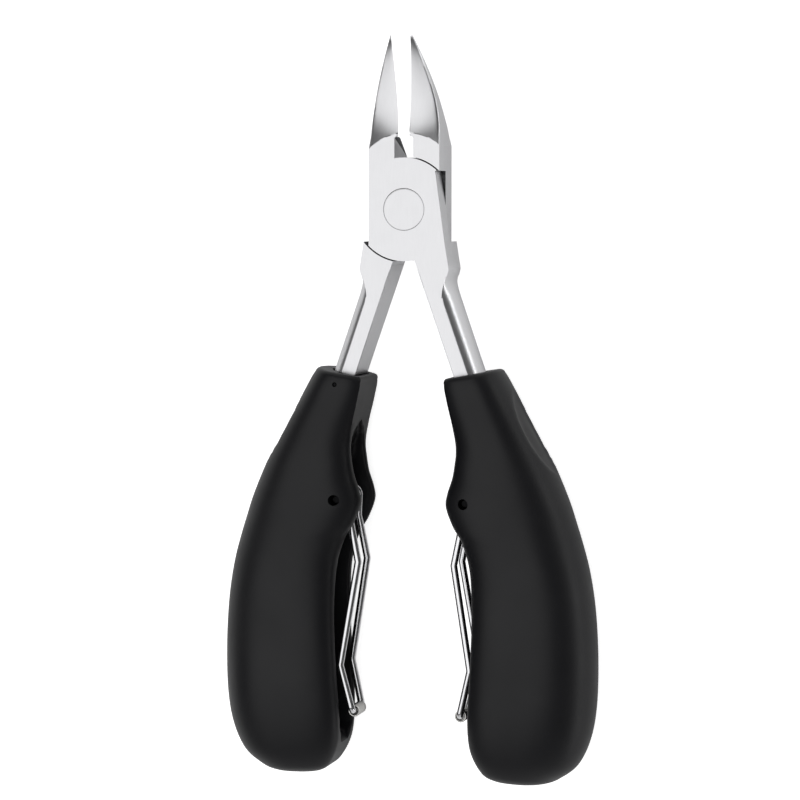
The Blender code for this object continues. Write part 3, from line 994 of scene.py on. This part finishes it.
def grip_rings():
    """Sections of the right grip, from inside its socket over the rim to its round end."""
    flat = [(*inner, *outer, half, wall) for inner, outer, half, wall in GRIP_STATIONS]
    rings = [[dimpled(p) for p in grip_section(row)] for row in spline(flat, 12)[12:]]
    last = [Vector(p) for p in rings[-1]]
    middle = sum(last, Vector()) / len(last)
    for shrink in (0.8, 0.5, 0.2):
        rings.append([middle + (p - middle) * shrink for p in last])
    widest = GRIP_HIGH.x - CENTRE.x
    rings = [[(min(x, widest), y, z) for x, y, z in ring] for ring in rings]
    return [list(ring) for ring in reversed(rim_rings(rings[0]))] + rings


def moulded_grip(name, side):
    """One moulded grip: socket for the tang, channel for the spring, and holes for two pins."""
    rings = grip_rings()
    if side < 0:
        rings = mirrored(rings)
    body = mesh_object(name, loft(rings))
    half = GRIP_HALF_THICKNESS
    spring_at = (side * SPRING_PIN[0], SPRING_PIN[1])
    tang_at = (side * TANG_PIN[0], TANG_PIN[1])
    bore = [(SPRING_HOLE_RADIUS, -half - 1), (SPRING_HOLE_RADIUS, half + 1)]
    through = turned(bore, spring_at, 40)
    drilled = turned(
        [(TANG_HOLE_RADIUS, -side * 4.0), (TANG_HOLE_RADIUS, -side * (half + 1))], tang_at, 32
    )
    body.data.materials.append(finish_of(black_moulded_plastic))
    carved(body, [(hole, "DIFFERENCE", black_moulded_plastic) for hole in (through, drilled)])
    smooth(body, 42.0)
    return body


# The springs and small parts


def filleted(points, radius, steps):
    """A polyline with every corner turned into an arc of about the given radius."""
    path = [points[0]]
    for before, corner, after in zip(points, points[1:], points[2:]):
        back, ahead = (before - corner).normalized(), (after - corner).normalized()
        half = 0.5 * back.angle(ahead)
        reach = radius / math.tan(half)
        start, end = corner + back * reach, corner + ahead * reach
        centre = corner + (back + ahead).normalized() * (radius / math.sin(half))
        one, other = start - centre, end - centre
        path += [centre + one.slerp(other, i / steps) for i in range(steps + 1)]
    path.append(points[-1])
    return path


def tangent_angle(point, turn):
    """Where a line from point touches the coil, on the side given by turn."""
    return math.atan2(point.y, point.x) + turn * math.acos(COIL_RADIUS / point.length)


def spring_path():
    """The right spring's wire about its pin: an end in the roller, a leg, a coil, and the loop."""
    knees = [Vector(knee) for knee in SPRING_KNEES]
    loop = [Vector(knee) for knee in LOOP_KNEES]
    arrive = tangent_angle(knees[0].xy, -1) % (2 * math.pi)
    leave = tangent_angle(loop[0].xy, 1) - 2 * math.pi
    outer = loop[0].z + COIL_PITCH * (arrive - leave) / (2 * math.pi)
    turns = []
    steps = 64
    for i in range(steps + 1):
        a = arrive + (leave - arrive) * i / steps
        rise = outer + (loop[0].z - outer) * i / steps
        turns.append(Vector((COIL_RADIUS * math.cos(a), COIL_RADIUS * math.sin(a), rise)))
    end = Vector((knees[-1].x, knees[-1].y, WIRE_END))
    middle = Vector((loop[1].x, loop[1].y, 0.0))
    path = filleted([end, *reversed(knees), turns[0]], 1.2, 8)[:-1]
    path += turns[:-1]
    path += filleted([turns[-1], loop[0], loop[1], middle], 0.8, 8)[:-1]
    return path + [Vector((p.x, p.y, -p.z)) for p in reversed(path)]


def wire_rings(path, radius, steps=20):
    """Round sections carried along a path without twist, with softened ends."""
    tangents = []
    for i in range(len(path)):
        before, after = path[max(i - 1, 0)], path[min(i + 1, len(path) - 1)]
        tangents.append((after - before).normalized())
    side = tangents[0].orthogonal().normalized()
    rings = []
    for i, (point, tangent) in enumerate(zip(path, tangents)):
        side = (side - tangent * side.dot(tangent)).normalized()
        up = tangent.cross(side)
        for shrink, push in ends(i, len(path), radius):
            ring = []
            for k in range(steps):
                a = 2 * math.pi * k / steps
                spot = point + tangent * push
                ring.append(spot + (side * math.cos(a) + up * math.sin(a)) * (radius * shrink))
            rings.append(ring)
    return rings


def ends(i, count, radius):
    """Shrink and shift of the sections at a point: two at each end of the wire, for a chamfer."""
    chamfer = 0.25 * radius
    if i == 0:
        return ((0.75, 0.0), (1.0, chamfer))
    if i == count - 1:
        return ((1.0, -chamfer), (0.75, 0.0))
    return ((1.0, 0.0),)


def spring_wire(name, side):
    """One spring of bright wire, folded into its grip."""
    radius = bpy.context.scene.nipper_sizes.wire_radius / MM
    centre = Vector((SPRING_PIN[0], SPRING_PIN[1], 0.0))
    path = [centre + p for p in spring_path()]
    rings = [[tuple(p) for p in ring] for ring in wire_rings(path, radius)]
    if side < 0:
        rings = mirrored(rings)
    wire = mesh_object(name, loft(rings))
    wire.data.materials.append(finish_of(bright_drawn_wire))
    smooth(wire, 50.0)
    return wire


def sleeve_rings(steps=48):
    """A short turned sleeve with rolled edges, about its own axis."""
    outer = 0.5 * (ROLLER_HIGH.x - ROLLER_LOW.x)
    half = 0.5 * (ROLLER_HIGH.z - ROLLER_LOW.z)
    bore = ROLLER_BORE
    soft = 0.12
    profile = [(outer, 0.0), (outer, half - soft)]
    profile += [(outer - 0.3 * soft, half - 0.3 * soft), (outer - soft, half)]
    profile += [(bore + soft, half), (bore + 0.3 * soft, half - 0.3 * soft), (bore, half - soft)]
    profile += [(r, -z) for r, z in reversed(profile)]
    rings = []
    for i in range(steps):
        a = 2 * math.pi * i / steps
        rings.append([(r * math.cos(a), r * math.sin(a), z) for r, z in profile[:-1]])
    return rings


def pin_rod(name, centre, radius, low, high):
    """A plain pin with chamfered ends."""
    soft = 0.3 * radius
    profile = [(radius - soft, low), (radius, low + soft)]
    profile += [(radius, high - soft), (radius - soft, high)]
    rod = mesh_object(name, turned(profile, centre, 40))
    # The pin's near-black finish is painted shade of the hole it sits in.
    rod.data.materials.append(finish_of(pin_steel_painted_hole_shade))
    smooth(rod)
    return rod


# Operators, one for each piece or group of like pieces


class NIPPER_OT_forgings(bpy.types.Operator):
    """Builds the two forged jaw halves"""

    bl_idname = "nipper.forgings"
    bl_label = "Forged Jaw Halves"

    def execute(self, context):
        for word, rear in (("front", False), ("rear", True)):
            half = jaw_half(word + "_forging", rear)
            fitted(half, word + "_half", "forged_steel", word + "_jaw_half")
        return {"FINISHED"}


class NIPPER_OT_rivet(bpy.types.Operator):
    """Builds the flush rivet"""

    bl_idname = "nipper.rivet"
    bl_label = "Rivet"

    def execute(self, context):
        rivet = mesh_object("flush_rivet", turned(rivet_profile()))
        rivet.data.materials.append(finish_of(satin_stainless))
        smooth(rivet, 25.0)
        fitted(rivet, "front_half", "forged_steel", "pivot_rivet")
        return {"FINISHED"}


class NIPPER_OT_grips(bpy.types.Operator):
    """Builds the two moulded grips"""

    bl_idname = "nipper.grips"
    bl_label = "Moulded Grips"

    def execute(self, context):
        for word, side, body in (("right", 1.0, "front_half"), ("left", -1.0, "rear_half")):
            grip = moulded_grip(word + "_moulding", side)
            fitted(grip, body, "grip_plastic", word + "_grip")
        return {"FINISHED"}


class NIPPER_OT_springs(bpy.types.Operator):
    """Builds the two wire springs and their roller sleeves"""

    bl_idname = "nipper.springs"
    bl_label = "Springs and Rollers"

    def execute(self, context):
        for word, side in (("right", 1.0), ("left", -1.0)):
            wire = spring_wire(word + "_wire", side)
            fitted(wire, word + "_spring", "spring_wire", word + "_spring")
            x, y = side * ROLLER_AT[0], ROLLER_AT[1]
            rings = [[(px + x, py + y, z) for px, py, z in ring] for ring in sleeve_rings()]
            sleeve = mesh_object(word + "_sleeve", loft(rings, closed=True))
            sleeve.data.materials.append(finish_of(turned_sleeve_metal))
            smooth(sleeve, 40.0)
            fitted(sleeve, word + "_roller", "roller_metal", word + "_spring_roller")
        return {"FINISHED"}


class NIPPER_OT_pins(bpy.types.Operator):
    """Builds the spring pins and the tang pins"""

    bl_idname = "nipper.pins"
    bl_label = "Pins"

    def execute(self, context):
        for word, side, body in (("right", 1.0, "front_half"), ("left", -1.0, "rear_half")):
            for kind in ("spring_pin", "tang_pin"):
                node = f"{word}_{kind}"
                low, high, middle = box_mm(node)
                centre = (middle.x - CENTRE.x, middle.y - CENTRE.y)
                radius = 0.5 * (high.x - low.x)
                rod = pin_rod(node + "_rod", centre, radius, low.z - CENTRE.z, high.z - CENTRE.z)
                fitted(rod, body, "pin_steel", node)
        return {"FINISHED"}


# The stage, in metres from the point looked at unless a comment says otherwise
CAMERA_AZIMUTH = math.radians(16.0)  # from straight above towards the right
CAMERA_TILT = math.radians(4.5)  # and towards the jaws
CAMERA_DISTANCE = 0.6
CAMERA_LENS = 127.0  # millimetres
VIEW_CENTRE = (-2.24, -40.5)  # from the rivet, in millimetres
FLOOR_GLOW = 0.75
SOFT_BOX_SIZE = (0.9, 1.5)
SOFT_BOX_AT = (-0.26, -0.05, 0.9)
SOFT_BOX_POWER = 4.5
STRIP_SIZE = (1.5, 0.14)
STRIP_AT = (0.9, -0.05, 0.07)
STRIP_POWER = 1.9
FILL_STRENGTH = 0.9
ROOM_BESIDE = 0.08  # brightness of the room beside the tool, and beyond its ends
ROOM_BEYOND = 0.6


class NIPPER_OT_stage(bpy.types.Operator):
    """Builds the pale floor, the soft lights, the surroundings and the camera"""

    bl_idname = "nipper.stage"
    bl_label = "Stage"

    def execute(self, context):
        scene = context.scene
        floor = pale_floor()
        look_at = Vector((VIEW_CENTRE[0], VIEW_CENTRE[1], 0.0)) + CENTRE
        look_at *= MM
        towards = Vector(
            (
                math.sin(CAMERA_AZIMUTH) * math.cos(CAMERA_TILT),
                math.sin(CAMERA_TILT),
                math.cos(CAMERA_AZIMUTH) * math.cos(CAMERA_TILT),
            )
        )
        data = bpy.data.cameras.new("view_camera")
        data.lens = CAMERA_LENS
        data.sensor_width = 36.0
        data.clip_start = 0.01
        camera = bpy.data.objects.new("view_camera", data)
        camera.location = look_at + towards * CAMERA_DISTANCE
        back = towards
        right = Vector((0.0, 1.0, 0.0)).cross(back).normalized()
        up = back.cross(right)
        camera.rotation_euler = turn_to(right, up, back)
        scene.collection.objects.link(camera)
        scene.camera = camera
        soft_lights(look_at)
        surroundings(scene)
        scene.view_settings.view_transform = "Standard"
        scene.view_settings.look = "None"
        return {"FINISHED"}


def turn_to(right, up, back):
    """The turn that points an object's axes in these three directions."""
    return Matrix((right, up, back)).transposed().to_euler()


def pale_floor():
    """A wide smooth floor of white matt board."""
    bm = bmesh.new()
    bmesh.ops.create_grid(bm, x_segments=8, y_segments=8, size=1.5)
    mesh = bpy.data.meshes.new("pale_floor")
    bm.to_mesh(mesh)
    bm.free()
    floor = bpy.data.objects.new("pale_floor", mesh)
    bpy.context.scene.collection.objects.link(floor)
    material, tree, shader, place = blank_finish("white_matt_board", linear("#f7f7f7"), 0.0, 0.9)
    shader.inputs["Emission Color"].default_value = linear("#ffffff")
    seen = add_node(tree, "ShaderNodeLightPath")
    glow = add_node(tree, "ShaderNodeMath", {"operation": "MULTIPLY"})
    glow.inputs[1].default_value = FLOOR_GLOW
    tree.links.new(seen.outputs["Is Camera Ray"], glow.inputs[0])
    tree.links.new(glow.outputs["Value"], shader.inputs["Emission Strength"])
    fibre = add_node(
        tree, "ShaderNodeTexNoise", {"Scale": per_metre(1.5), "Detail": 3.0}, {"Vector": place}
    )
    bump = add_node(
        tree,
        "ShaderNodeBump",
        {"Strength": 0.05, "Distance": 0.05 * MM},
        {"Height": fibre.outputs["Fac"]},
    )
    tree.links.new(bump.outputs["Normal"], shader.inputs["Normal"])
    mesh.materials.append(material)
    return floor


def area_light(name, size, power, place, turn):
    """A rectangular light."""
    data = bpy.data.lights.new(name, "AREA")
    data.shape = "RECTANGLE"
    data.size, data.size_y = size
    data.energy = power
    lamp = bpy.data.objects.new(name, data)
    lamp.location = place
    lamp.rotation_euler = turn
    bpy.context.scene.collection.objects.link(lamp)


def soft_lights(look_at):
    """A broad soft box overhead, a low strip on the right that draws a bright line down the
    rounds, and an even fill that gives no reflection of its own."""
    above = look_at + Vector(SOFT_BOX_AT)
    facing = (look_at - above).to_track_quat("-Z", "Y").to_euler()
    area_light("soft_box", SOFT_BOX_SIZE, SOFT_BOX_POWER, above, facing)
    beside = look_at + Vector(STRIP_AT)
    level = turn_to(Vector((0, 1, 0)), Vector((0, 0, 1)), Vector((1, 0, 0)))
    area_light("low_strip", STRIP_SIZE, STRIP_POWER, beside, level)
    fill = bpy.data.lights.new("even_fill", "SUN")
    fill.energy = FILL_STRENGTH
    fill.angle = math.radians(120)
    sky = bpy.data.objects.new("even_fill", fill)
    sky.visible_glossy = False
    bpy.context.scene.collection.objects.link(sky)


def surroundings(scene):
    """A room that is dim to either side, so that polished rounds show dark bands, and bright
    beyond the tool's ends, so that the flats stay light from there."""
    world = bpy.data.worlds.new("dim_room")
    world.use_nodes = True
    world.node_tree.nodes["Background"].inputs["Color"].default_value = linear("#ffffff")
    tree = world.node_tree
    towards = add_node(tree, "ShaderNodeTexCoord").outputs["Generated"]
    axes = add_node(tree, "ShaderNodeSeparateXYZ", None, {"Vector": towards})
    endways = add_node(tree, "ShaderNodeMath", {"operation": "ABSOLUTE"})
    tree.links.new(axes.outputs["Y"], endways.inputs[0])
    glow = add_node(
        tree,
        "ShaderNodeMapRange",
        {"From Min": 0.55, "From Max": 0.9, "To Min": ROOM_BESIDE, "To Max": ROOM_BEYOND},
        {"Value": endways.outputs["Value"]},
    )
    tree.links.new(glow.outputs["Result"], tree.nodes["Background"].inputs["Strength"])
    scene.world = world


OPERATORS = (
    NIPPER_OT_stage,
    NIPPER_OT_forgings,
    NIPPER_OT_rivet,
    NIPPER_OT_grips,
    NIPPER_OT_springs,
    NIPPER_OT_pins,
)


class NIPPER_PT_parts(bpy.types.Panel):
    """Lists the nipper's pieces, sizes and finishes"""

    bl_label = "Toenail Nipper"
    bl_space_type = "VIEW_3D"
    bl_region_type = "UI"
    bl_category = "Nipper"

    def draw(self, context):
        column = self.layout.column(align=True)
        for operator in OPERATORS:
            column.operator(operator.bl_idname)
        for group in (context.scene.nipper_sizes, context.scene.nipper_finishes):
            column = self.layout.column()
            for name in group.__annotations__:
                column.prop(group, name)


CLASSES = (NipperSizes, NipperFinishes, *OPERATORS, NIPPER_PT_parts)


def register():
    for cls in CLASSES:
        bpy.utils.register_class(cls)
    bpy.types.Scene.nipper_sizes = bpy.props.PointerProperty(type=NipperSizes)
    bpy.types.Scene.nipper_finishes = bpy.props.PointerProperty(type=NipperFinishes)


def unregister():
    del bpy.types.Scene.nipper_finishes
    del bpy.types.Scene.nipper_sizes
    for cls in reversed(CLASSES):
        bpy.utils.unregister_class(cls)


def main():
    register()
    bpy.ops.nipper.stage()
    bpy.ops.nipper.forgings()
    bpy.ops.nipper.rivet()
    bpy.ops.nipper.grips()
    bpy.ops.nipper.springs()
    bpy.ops.nipper.pins()


if __name__ == "__main__":
    main()
